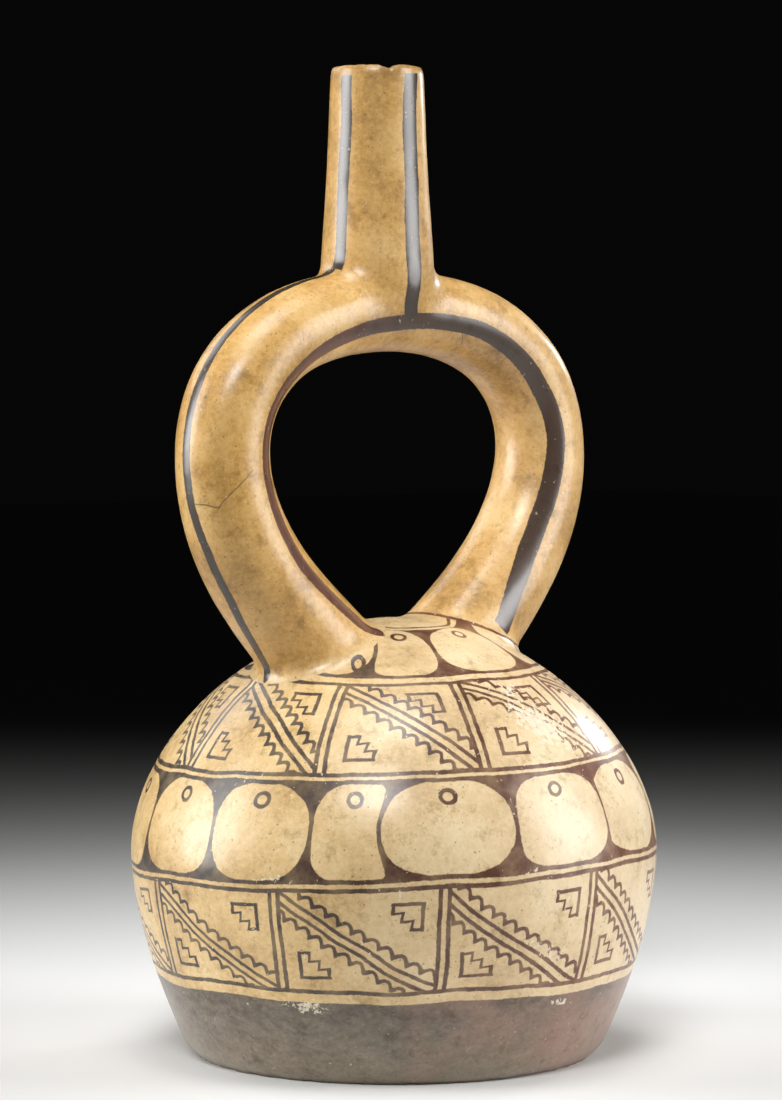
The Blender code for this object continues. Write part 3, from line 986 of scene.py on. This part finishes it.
    # age: stains, open pores, hairline cracks and lost slip
    stain = add("MapRange", noises["stain"], 0.53, 0.66, 0, 0.85)
    colour = add("Mix RGBA", stain, colour, toLinear(age["stain"]), blend_type="MULTIPLY")
    spacing, size, ragged = age["pores"]
    rough = add("VectorMath MULTIPLY_ADD", noises["rough"].outputs["Color"], (ragged,) * 3, point)
    pores = add("TexVoronoi", rough, sockets={"Scale": 1 / spacing})
    pore = add("SeparateColor", pores.outputs["Color"])
    pore = add("Math POWER", pore, 4)
    pore = add("Math MULTIPLY", pore, size)
    pore = add("Math SUBTRACT", pore, pores.outputs["Distance"])
    pore = add("MapRange", pore, -0.06, 0.08, 0, 0.6)
    colour = add("Mix RGBA", pore, colour, toLinear(age["pit"]))
    crack = add("MapRange", drawCracks(add, place, cloud), 0.12, -0.12, 0, 0.85)
    colour = add("Mix RGBA", crack, colour, toLinear(age["pit"]))
    lost = drawPatches(add, place, flake)
    paled = add("Math MULTIPLY", lost, 0.85)
    colour = add("Mix RGBA", paled, colour, toLinear(clay["pale"]))

    gloss = add("Math MULTIPLY_ADD", cloud, 0.25, clay["roughness"] - 0.12)
    gloss = add("Math MULTIPLY_ADD", stripe, -0.16, gloss)
    gloss = add("Math MULTIPLY_ADD", dark, -0.08, gloss)
    gloss = add("Math MULTIPLY_ADD", lost, 0.3, gloss)
    height = add("Math MULTIPLY_ADD", grain, 0.35, fine)
    bump = add("Bump", sockets={"Height": height, "Strength": 0.25, "Distance": clay["tooth"]})
    shader = add("BsdfPrincipled", sockets={
        "Base Color": colour, "Roughness": gloss, "Normal": bump, "Metallic": 0.0, "IOR": 1.5,
        "Coat Weight": clay["polish"], "Coat Roughness": clay["polishRoughness"]})
    add("OutputMaterial", shader)
    return material


vessel.data.materials.clear()
vessel.data.materials.append(slipPaintedEarthenware())
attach(vessel, "root")
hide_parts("vessel")
print("vessel painted")


# the studio: a pale floor and soft boxes of light
studio = {
    "photoSize": (782, 1100),
    "axisPixel": 394,  # where the chamber's axis stands in the photograph
    "lens": 125,
    "distance": 1.13,
    "height": 0.2,
    "pitch": 2.6,  # degrees down
    "floor": "#E4E4E3",
    # softboxes: (right, towards the camera, up) in metres, size, watts, aim height, spread in degrees
    "softboxes": [((-0.85, 0.06, 0.36), (0.45, 0.85), 1.75, 0.16, 70),
                  ((0.85, 0.12, 0.36), (0.45, 0.85), 1.55, 0.1, 70),
                  ((0.6, -0.76, 0.43), (0.07, 0.12), 0.16, 0.1, 60),
                  ((-0.62, -0.62, 0.72), (0.5, 0.5), 0.22, 0.18, 60),
                  ((0.0, 0.1, 0.95), (0.5, 0.4), 0.34, 0.1, 40),
                  ((-0.15, 0.75, 0.95), (0.6, 0.4), 0.48, 0.16, 30)],
    "world": 0.002,
}

facing = math.radians(painting["facing"])
rightward = Vector((math.cos(facing), -math.sin(facing), 0))
toCamera = Vector((-math.sin(facing), -math.cos(facing), 0))

camera = bpy.data.objects.new("camera", bpy.data.cameras.new("camera"))
camera.data.lens = studio["lens"]
focal = studio["lens"] / camera.data.sensor_width * studio["photoSize"][1]
aside = (studio["photoSize"][0] / 2 - studio["axisPixel"]) / focal * studio["distance"]
camera.location = toCamera * studio["distance"] + rightward * aside + Vector((0, 0, studio["height"]))
camera.rotation_euler = (math.radians(90 - studio["pitch"]), 0, -facing)
bpy.context.scene.collection.objects.link(camera)
bpy.context.scene.camera = camera

for k, (place, size, power, aim, spread) in enumerate(studio["softboxes"]):
    lamp = bpy.data.objects.new("softbox%d" % k, bpy.data.lights.new("softbox%d" % k, "AREA"))
    lamp.data.shape = "RECTANGLE"
    lamp.data.size, lamp.data.size_y = size
    lamp.data.energy, lamp.data.spread = power, math.radians(spread)
    lamp.location = rightward * place[0] + toCamera * place[1] + Vector((0, 0, place[2]))
    lamp.rotation_euler = (Vector((0, 0, aim)) - lamp.location).to_track_quat("-Z", "Y").to_euler()
    bpy.context.scene.collection.objects.link(lamp)

world = bpy.data.worlds.new("studio")
world.use_nodes = True
world.node_tree.nodes["Background"].inputs["Color"].default_value = (studio["world"],) * 3 + (1,)
bpy.context.scene.world = world
bpy.context.scene.view_settings.view_transform = "Standard"

floorShape = bmesh.new()
bmesh.ops.create_grid(floorShape, x_segments=1, y_segments=1, size=4)
floor = addItem("floor", floorShape)
paper = bpy.data.materials.new("mattPaper")
paper.use_nodes = True
surface = paper.node_tree.nodes["Principled BSDF"].inputs
surface["Base Color"].default_value, surface["Roughness"].default_value = toLinear(studio["floor"]), 0.8
floor.data.materials.append(paper)
print("studio set")
